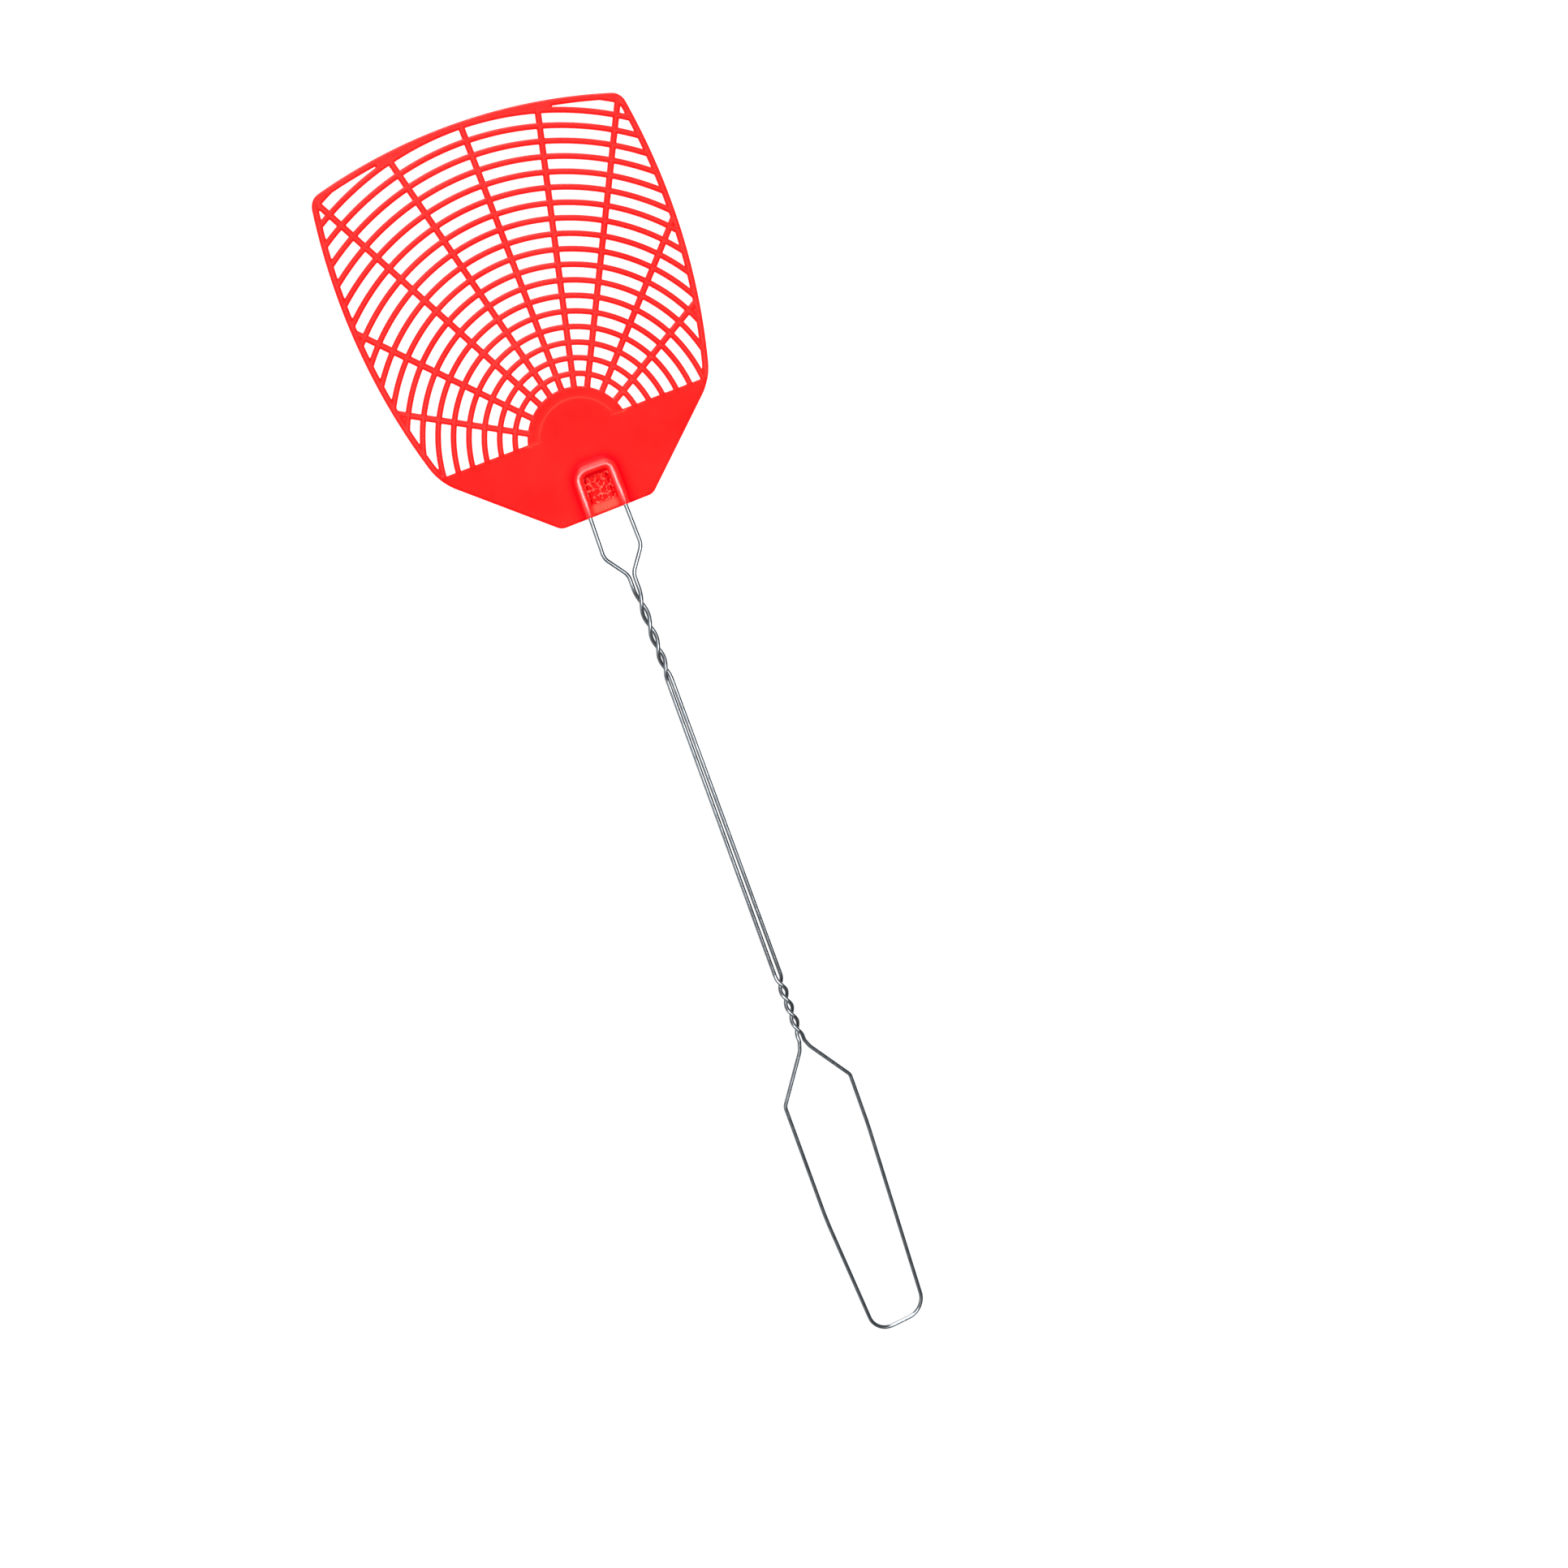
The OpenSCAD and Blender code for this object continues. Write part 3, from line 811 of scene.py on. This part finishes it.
def make_mesh(name, verts, faces, smooth_angle=35):
    """A mesh object from millimetres about the hub."""
    v = np.array(verts, float)
    v[:, 1] += HUB_Y
    mesh = bpy.data.meshes.new(name)
    mesh.from_pydata([tuple(p * MM) for p in v], [], faces)
    mesh.validate()
    bm = bmesh.new()
    bm.from_mesh(mesh)
    loose = [x for x in bm.verts if not x.link_faces]
    bmesh.ops.delete(bm, geom=loose, context="VERTS")
    bm.to_mesh(mesh)
    bm.free()
    mesh.shade_smooth()
    mesh.set_sharp_from_angle(angle=math.radians(smooth_angle))
    obj = bpy.data.objects.new(name, mesh)
    bpy.context.scene.collection.objects.link(obj)
    return obj


# ---- the wire ---------------------------------------------------------------

def eased(u):
    """An even turn that starts and ends gently."""
    if u < EASE_IN:
        w = u * u / (2 * EASE_IN)
    elif u < 1 - EASE_IN:
        w = u - EASE_IN / 2
    else:
        w = 1 - EASE_IN - (1 - u) ** 2 / (2 * EASE_IN)
    return w / (1 - EASE_IN)


def twisted(side, hand, span, half, turns, tighten):
    """One strand of a twist: half is its distance from the axis at both ends."""
    n = int(math.ceil((span[1] - span[0]) / TWIST_STEP))
    out = []
    for i in range(n + 1):
        u = i / n
        phase = 2 * math.pi * turns * eased(u**tighten)
        r = half[0] + (half[1] - half[0]) * u
        y = -(span[0] + (span[1] - span[0]) * u)
        out.append((side * r * math.cos(phase), y, side * hand * r * math.sin(phase)))
    return out


def with_z(points):
    return [(p[0], p[1], 0.0) for p in points]


def strand_line(side, tip_x, tip_bend):
    leg = [(side * tip_x, -HOOK_Y), (side * LEG_TOP, -HOOK_Y), (side * LEG_END, -FORK_Y),
           (side * STRAND_TOP, -JOIN_Y), (side * STRAND_TOP, -UPPER_TWIST[0])]
    line = with_z(bent(leg, [tip_bend, FORK_BEND, JOIN_BEND]))
    line += twisted(side, 1, UPPER_TWIST, (STRAND_TOP, STRAND_SHAFT_TOP), UPPER_TURNS, UPPER_TIGHTEN)[1:]
    line += twisted(side, -1, LOWER_TWIST, (STRAND_SHAFT_END, STRAND_LOOP), LOWER_TURNS, 1.0)
    return line


def wire_line():
    """The centre line of the one wire, from its end in the pocket round the hand loop and back."""
    butt = LEG_TOP - RIGHT_HOOK_BEND - 0.3
    left = strand_line(-1, BUTT_GAP - butt, LEFT_HOOK_BEND)
    right = strand_line(1, butt, RIGHT_HOOK_BEND)
    path = [(-STRAND_LOOP, -LOWER_TWIST[1]), *LOOP_CORNERS, (STRAND_LOOP, -LOWER_TWIST[1])]
    loop = with_z(bent(path, LOOP_RADII))
    return np.array(left + loop[1:-1] + right[::-1])


def resampled(line, longest):
    """Long straight stretches get points in between."""
    out = [line[0]]
    for a, b in zip(line, line[1:]):
        n = max(1, int(np.linalg.norm(b - a) / longest))
        out += [a + (b - a) * k / n for k in range(1, n + 1)]
    return np.array(out)


def build_wire():
    """The handle as one round wire swept along its centre line, its cut ends in the pocket."""
    c = resampled(wire_line(), WIRE_STEP)
    c = np.column_stack([from_handle(c[:, :2]), c[:, 2] + WIRE_Z])
    seg = np.diff(c, axis=0)
    seg /= np.linalg.norm(seg, axis=1)[:, None]
    t = np.vstack([seg[:1], seg[:-1] + seg[1:], seg[-1:]])
    t /= np.linalg.norm(t, axis=1)[:, None]
    a = np.cross(t, (0.0, 0.0, 1.0))
    a /= np.linalg.norm(a, axis=1)[:, None]
    b = np.cross(a, t)
    along = np.concatenate([[0], np.cumsum(np.linalg.norm(np.diff(c, axis=0), axis=1))])
    verts, faces = [], []
    last = len(c) - 1
    rings = [
        (c[0], WIRE_R - WIRE_END_R, 0), (c[0] + t[0] * WIRE_END_R, WIRE_R, 0),
        *[(c[i], WIRE_R, i) for i in range(1, last)],
        (c[-1] - t[-1] * WIRE_END_R, WIRE_R, last), (c[-1], WIRE_R - WIRE_END_R, last),
    ]
    m = WIRE_SIDES
    for p, r, i in rings:
        for k in range(m):
            w = 2 * math.pi * k / m
            verts.append(tuple(p + r * (math.cos(w) * a[i] + math.sin(w) * b[i])))
    for i in range(len(rings) - 1):
        for k in range(m):
            k2 = (k + 1) % m
            faces.append((i * m + k, (i + 1) * m + k, (i + 1) * m + k2, i * m + k2))
    faces.append(tuple(range(m))[::-1])
    faces.append(tuple((len(rings) - 1) * m + k for k in range(m)))
    obj = make_mesh("handle_wire", verts, faces, 40)
    # length along the wire and way round it, for the drawn lines of the surface
    uv = obj.data.uv_layers.new(name="wire")
    run = [0.0, *along, along[-1]]
    for poly in obj.data.polygons:
        wrap = {k % m for k in poly.vertices} >= {0, m - 1} and len(poly.vertices) == 4
        for li in poly.loop_indices:
            vi = obj.data.loops[li].vertex_index
            k = vi % m
            uv.data[li].uv = ((k if not (wrap and k == 0) else m) / m, run[min(vi // m, len(run) - 1)] * MM)
    return obj


# ---- the backing flap -------------------------------------------------------

def build_flap():
    """The welded flap behind the wire: rounded edges, the weld pits showing through faintly; painted shade in the
    pits and a painted highlight on the rounded edge.
    """
    us = spread(-FLAP_HALF_W, FLAP_HALF_W, FLAP_STEP, pit_marks())
    vs = spread(-BLADE_BOTTOM, -FLAP_TOP, FLAP_STEP, pit_marks(-PIT_Y))
    verts, faces = [], []
    nu, nv = len(us), len(vs)
    for top in (True, False):
        for v in vs:
            for u in us:
                x, y = float(u), float(v)
                edge = min(FLAP_HALF_W - abs(x), -FLAP_TOP - y)
                if y < -BLADE_BOTTOM + 0.6:
                    edge = min(edge, y + BLADE_BOTTOM)
                round_off = FLAP_EDGE_R * float(1 - smooth(edge, 0.0, 0.45))
                hu, hv = to_handle(x, y)
                weld = FLAP_WELD * float(1 - smooth(pit_distance(hu, hv), -0.16, 0.1))
                verts.append((x, y, FLAP_T if top else round_off + weld))

    def at(i, j, top):
        return (0 if top else nu * nv) + j * nu + i

    for j in range(nv - 1):
        for i in range(nu - 1):
            faces.append((at(i, j, True), at(i + 1, j, True), at(i + 1, j + 1, True), at(i, j + 1, True)))
            faces.append((at(i, j, False), at(i, j + 1, False), at(i + 1, j + 1, False), at(i + 1, j, False)))
    ring = [(i, 0) for i in range(nu)] + [(nu - 1, j) for j in range(1, nv)]
    ring += [(i, nv - 1) for i in range(nu - 2, -1, -1)] + [(0, j) for j in range(nv - 2, 0, -1)]
    for k in range(len(ring)):
        (i, j), (i2, j2) = ring[k], ring[(k + 1) % len(ring)]
        faces.append((at(i, j, False), at(i2, j2, False), at(i2, j2, True), at(i, j, True)))
    obj = make_mesh("pocket_flap_welded", verts, faces)
    co = np.array([v.co for v in obj.data.vertices]) / MM
    x, y = co[:, 0], co[:, 1] - HUB_Y
    # painted shade in the weld pits (the deeper red) and a painted highlight on the rounded edge (the bent mask)
    weld = 0.8 * (1 - smooth(pit_distance(*to_handle(x, y)), -0.16, 0.1))
    edge = np.minimum(FLAP_HALF_W - np.abs(x), -FLAP_TOP - y)
    set_masks(obj, pressed=weld, bent=0.6 * (1 - smooth(edge, 0.1, 0.7)))
    return obj


# ---- materials --------------------------------------------------------------

def nodes_of(name):
    material = bpy.data.materials.new(name)
    material.use_nodes = True
    tree = material.node_tree
    tree.nodes.clear()
    return material, tree


def add(tree, kind, inputs=None, **props):
    node = tree.nodes.new(kind)
    for key, value in props.items():
        setattr(node, key, value)
    for key, value in (inputs or {}).items():
        node.inputs[key].default_value = value
    return node


def red_plastic():
    material, tree = nodes_of("red_soft_plastic")
    link = tree.links.new
    coords = add(tree, "ShaderNodeTexCoord")
    drawn = add(tree, "ShaderNodeAttribute", attribute_name="drawn")
    pressed = add(tree, "ShaderNodeAttribute", attribute_name="pressed")
    grid = add(tree, "ShaderNodeAttribute", attribute_name="grid")
    shader = add(tree, "ShaderNodeBsdfPrincipled", {
        "IOR": 1.5, "Subsurface Weight": 0.12, "Subsurface Scale": 0.001,
        "Subsurface Radius": (1.0, 0.12, 0.1),
    })
    cloud = add(tree, "ShaderNodeTexNoise", {"Scale": 45.0, "Detail": 4.0, "Roughness": 0.55})
    tint = add(tree, "ShaderNodeValToRGB")
    tint.color_ramp.elements[0].position = 0.3
    tint.color_ramp.elements[0].color = (0.90, 0.0045, 0.004, 1)
    tint.color_ramp.elements[1].position = 0.75
    tint.color_ramp.elements[1].color = (0.96, 0.010, 0.008, 1)
    link(coords.outputs["Object"], cloud.inputs["Vector"])
    link(cloud.outputs["Fac"], tint.inputs["Fac"])
    # painted shade: a much darker red mixed in where the painted shade mask is set
    painted_shade_mix = add(tree, "ShaderNodeMix", {"B": (0.36, 0.0, 0.003, 1)}, data_type="RGBA")
    link(pressed.outputs["Fac"], painted_shade_mix.inputs["Factor"])
    link(tint.outputs["Color"], painted_shade_mix.inputs["A"])
    whitened = add(tree, "ShaderNodeAttribute", attribute_name="whitened")
    torn = add(tree, "ShaderNodeTexNoise", {"Scale": 900.0, "Detail": 3.0, "Roughness": 0.6})
    link(coords.outputs["Object"], torn.inputs["Vector"])
    patchy = add(tree, "ShaderNodeMapRange", {"From Min": 0.46, "From Max": 0.60, "To Min": 0.0, "To Max": 0.8})
    link(torn.outputs["Fac"], patchy.inputs["Value"])
    stress = add(tree, "ShaderNodeMath", operation="MULTIPLY")
    link(whitened.outputs["Fac"], stress.inputs[0])
    link(patchy.outputs["Result"], stress.inputs[1])
    # painted highlight: a lighter red mixed in where the bent mask is set
    painted_highlight_attr = add(tree, "ShaderNodeAttribute", attribute_name="bent")
    lip = add(tree, "ShaderNodeMix", {"B": (0.98, 0.040, 0.026, 1)}, data_type="RGBA")
    link(painted_highlight_attr.outputs["Fac"], lip.inputs["Factor"])
    link(painted_shade_mix.outputs["Result"], lip.inputs["A"])
    pale = add(tree, "ShaderNodeMix", {"B": (1.0, 0.16, 0.11, 1)}, data_type="RGBA")
    link(stress.outputs["Value"], pale.inputs["Factor"])
    link(lip.outputs["Result"], pale.inputs["A"])
    link(pale.outputs["Result"], shader.inputs["Base Color"])

    grain = add(tree, "ShaderNodeTexNoise", {"Scale": 2600.0, "Detail": 3.0, "Roughness": 0.6})
    link(coords.outputs["Object"], grain.inputs["Vector"])
    satin = add(tree, "ShaderNodeMapRange", {"From Min": 0.3, "From Max": 0.7, "To Min": 0.33, "To Max": 0.42})
    link(grain.outputs["Fac"], satin.inputs["Value"])
    polish = add(tree, "ShaderNodeMix", {"B": 0.22}, data_type="FLOAT")
    link(drawn.outputs["Fac"], polish.inputs["Factor"])
    link(satin.outputs["Result"], polish.inputs["A"])
    link(polish.outputs["Result"], shader.inputs["Roughness"])
    shine = add(tree, "ShaderNodeMapRange", {"From Min": 0.0, "From Max": 1.0, "To Min": 0.01, "To Max": 0.06})
    link(grid.outputs["Fac"], shine.inputs["Value"])
    gloss = add(tree, "ShaderNodeMix", {"B": 0.6}, data_type="FLOAT")
    link(drawn.outputs["Fac"], gloss.inputs["Factor"])
    link(shine.outputs["Result"], gloss.inputs["A"])
    link(gloss.outputs["Result"], shader.inputs["Specular IOR Level"])

    flow = add(tree, "ShaderNodeTexNoise", {"Scale": 90.0, "Detail": 2.0, "Roughness": 0.5})
    link(coords.outputs["Object"], flow.inputs["Vector"])
    bump = add(tree, "ShaderNodeBump", {"Strength": 0.12, "Distance": 0.00006})
    link(grain.outputs["Fac"], bump.inputs["Height"])
    sink = add(tree, "ShaderNodeBump", {"Strength": 0.2, "Distance": 0.0003})
    link(flow.outputs["Fac"], sink.inputs["Height"])
    link(bump.outputs["Normal"], sink.inputs["Normal"])
    link(sink.outputs["Normal"], shader.inputs["Normal"])
    out = add(tree, "ShaderNodeOutputMaterial")
    link(shader.outputs["BSDF"], out.inputs["Surface"])
    return material


def zinc_wire():
    material, tree = nodes_of("zinc_drawn_wire")
    link = tree.links.new
    uv = add(tree, "ShaderNodeUVMap", uv_map="wire")
    stretch = add(tree, "ShaderNodeMapping", {"Scale": (26.0, 90.0, 1.0)})
    link(uv.outputs["UV"], stretch.inputs["Vector"])
    lines = add(tree, "ShaderNodeTexNoise", {"Scale": 1.0, "Detail": 5.0, "Roughness": 0.6})
    link(stretch.outputs["Vector"], lines.inputs["Vector"])
    coords = add(tree, "ShaderNodeTexCoord")
    patch = add(tree, "ShaderNodeTexNoise", {"Scale": 380.0, "Detail": 3.0, "Roughness": 0.55})
    link(coords.outputs["Object"], patch.inputs["Vector"])
    shader = add(tree, "ShaderNodeBsdfPrincipled", {"Metallic": 1.0, "Roughness": 0.3})
    tint = add(tree, "ShaderNodeValToRGB")
    tint.color_ramp.elements[0].position = 0.25
    tint.color_ramp.elements[0].color = (0.085, 0.095, 0.105, 1)
    tint.color_ramp.elements[1].position = 0.8
    tint.color_ramp.elements[1].color = (0.23, 0.25, 0.265, 1)
    mixed = add(tree, "ShaderNodeMix", data_type="RGBA")
    mixed.inputs["Factor"].default_value = 0.5
    tint2 = add(tree, "ShaderNodeValToRGB")
    tint2.color_ramp.elements[0].position = 0.35
    tint2.color_ramp.elements[0].color = (0.11, 0.12, 0.13, 1)
    tint2.color_ramp.elements[1].position = 0.7
    tint2.color_ramp.elements[1].color = (0.21, 0.225, 0.24, 1)
    link(lines.outputs["Fac"], tint.inputs["Fac"])
    link(patch.outputs["Fac"], tint2.inputs["Fac"])
    link(tint.outputs["Color"], mixed.inputs["A"])
    link(tint2.outputs["Color"], mixed.inputs["B"])
    link(mixed.outputs["Result"], shader.inputs["Base Color"])
    rough = add(tree, "ShaderNodeMapRange", {"From Min": 0.3, "From Max": 0.7, "To Min": 0.15, "To Max": 0.27})
    link(lines.outputs["Fac"], rough.inputs["Value"])
    link(rough.outputs["Result"], shader.inputs["Roughness"])
    bump = add(tree, "ShaderNodeBump", {"Strength": 0.35, "Distance": 0.00004})
    link(lines.outputs["Fac"], bump.inputs["Height"])
    link(bump.outputs["Normal"], shader.inputs["Normal"])
    out = add(tree, "ShaderNodeOutputMaterial")
    link(shader.outputs["BSDF"], out.inputs["Surface"])
    return material


def pale_floor():
    material, tree = nodes_of("pale_floor")
    link = tree.links.new
    shader = add(tree, "ShaderNodeBsdfPrincipled", {
        "Base Color": (0.12, 0.12, 0.12, 1), "Roughness": 0.9, "Specular IOR Level": 0.0,
        "Emission Color": (1, 1, 1, 1), "Emission Strength": 0.95,
    })
    out = add(tree, "ShaderNodeOutputMaterial")
    link(shader.outputs["BSDF"], out.inputs["Surface"])
    return material


# ---- put it together --------------------------------------------------------

red, zinc = red_plastic(), zinc_wire()

blade = build_blade()
blade.data.materials.append(red)
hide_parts("blade_grid", "blade_neck")
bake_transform(blade)

flap = build_flap()
flap.data.materials.append(red)
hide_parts("pocket_flap")
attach(flap, "handle")

wire = build_wire()
wire.data.materials.append(zinc)
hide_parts("wire_left_strand", "wire_right_strand", "hand_loop")
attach(wire, "handle")

# ---- floor, light and camera ------------------------------------------------

FLOOR_HALF = 4.0      # metres
FLOOR_Z = -0.0005
floor_mesh = bpy.data.meshes.new("floor")
floor_corners = [(i * FLOOR_HALF, j * FLOOR_HALF, 0) for i, j in ((-1, -1), (1, -1), (1, 1), (-1, 1))]
floor_mesh.from_pydata(floor_corners, [], [(0, 1, 2, 3)])
floor = bpy.data.objects.new("floor", floor_mesh)
bpy.context.scene.collection.objects.link(floor)
floor.location.z = FLOOR_Z
floor.data.materials.append(pale_floor())

scene = bpy.context.scene
world = bpy.data.worlds.new("studio")
scene.world = world
world.use_nodes = True
tree = world.node_tree
tree.nodes.clear()
coords = add(tree, "ShaderNodeTexCoord")
split = add(tree, "ShaderNodeSeparateXYZ")
# brighter towards the left of the blade, dim on its right
side = add(tree, "ShaderNodeMapRange", {"From Min": -1.0, "From Max": 1.0, "To Min": 0.0, "To Max": 1.0})
ramp = add(tree, "ShaderNodeValToRGB")
ramp.color_ramp.elements[0].position = 0.2
ramp.color_ramp.elements[0].color = (0.62, 0.64, 0.66, 1)
ramp.color_ramp.elements[1].position = 0.75
ramp.color_ramp.elements[1].color = (0.13, 0.15, 0.17, 1)
background = add(tree, "ShaderNodeBackground")
out = add(tree, "ShaderNodeOutputWorld")
tree.links.new(coords.outputs["Generated"], split.inputs["Vector"])
tree.links.new(split.outputs["X"], side.inputs["Value"])
tree.links.new(side.outputs["Result"], ramp.inputs["Fac"])
tree.links.new(ramp.outputs["Color"], background.inputs["Color"])
tree.links.new(background.outputs["Background"], out.inputs["Surface"])

LIT_SPOT = Vector((0, HUB_Y + 20, 0)) * MM


def soft_light(name, towards, distance, size, radiance):
    """A rectangular soft box in the given direction from the blade, with its brightness as a radiance."""
    data = bpy.data.lights.new(name, "AREA")
    data.shape = "RECTANGLE"
    data.size, data.size_y = size
    data.energy = radiance * math.pi * size[0] * size[1]
    obj = bpy.data.objects.new(name, data)
    scene.collection.objects.link(obj)
    away = Vector(towards).normalized()
    obj.location = LIT_SPOT + away * distance
    obj.rotation_euler = (-away).to_track_quat("-Z", "Y").to_euler()
    return obj


soft_light("left_box", (-0.74, -0.16, 0.67), 1.2, (0.5, 1.75), 1.5)
soft_light("top_box", (-0.06, -0.05, 1.0), 1.2, (1.1, 0.42), 14.5)
soft_light("head_low_box", (0.14, 0.95, 0.29), 1.3, (1.1, 0.7), 26.0)
soft_light("head_high_box", (0.21, 0.33, 0.92), 1.3, (0.5, 0.5), 5.0)

# the camera looks down on the striking face from the blade's top left
AIM = Vector((0.0239, -0.0201, 0.0008))
AZIMUTH = math.radians(-46.55)
ELEVATION = math.radians(71.46)
ROLL = math.radians(20.5)
DISTANCE = 0.7508
LENS = 49.53
SENSOR = 36.0

away = Vector((math.sin(AZIMUTH) * math.cos(ELEVATION),
               math.cos(AZIMUTH) * math.cos(ELEVATION),
               math.sin(ELEVATION)))
level = Vector((0, 1, 0)).cross(away).normalized()
upright = away.cross(level)
up = upright * math.cos(ROLL) + level * math.sin(ROLL)
right = level * math.cos(ROLL) - upright * math.sin(ROLL)
camera_data = bpy.data.cameras.new("camera")
camera_data.lens = LENS
camera_data.sensor_width = SENSOR
camera_data.clip_start = 0.01
camera = bpy.data.objects.new("camera", camera_data)
scene.collection.objects.link(camera)
place = AIM + away * DISTANCE
camera.matrix_world = Matrix((
    (right.x, up.x, away.x, place.x),
    (right.y, up.y, away.y, place.y),
    (right.z, up.z, away.z, place.z),
    (0, 0, 0, 1),
))
scene.camera = camera
scene.view_settings.view_transform = "Standard"
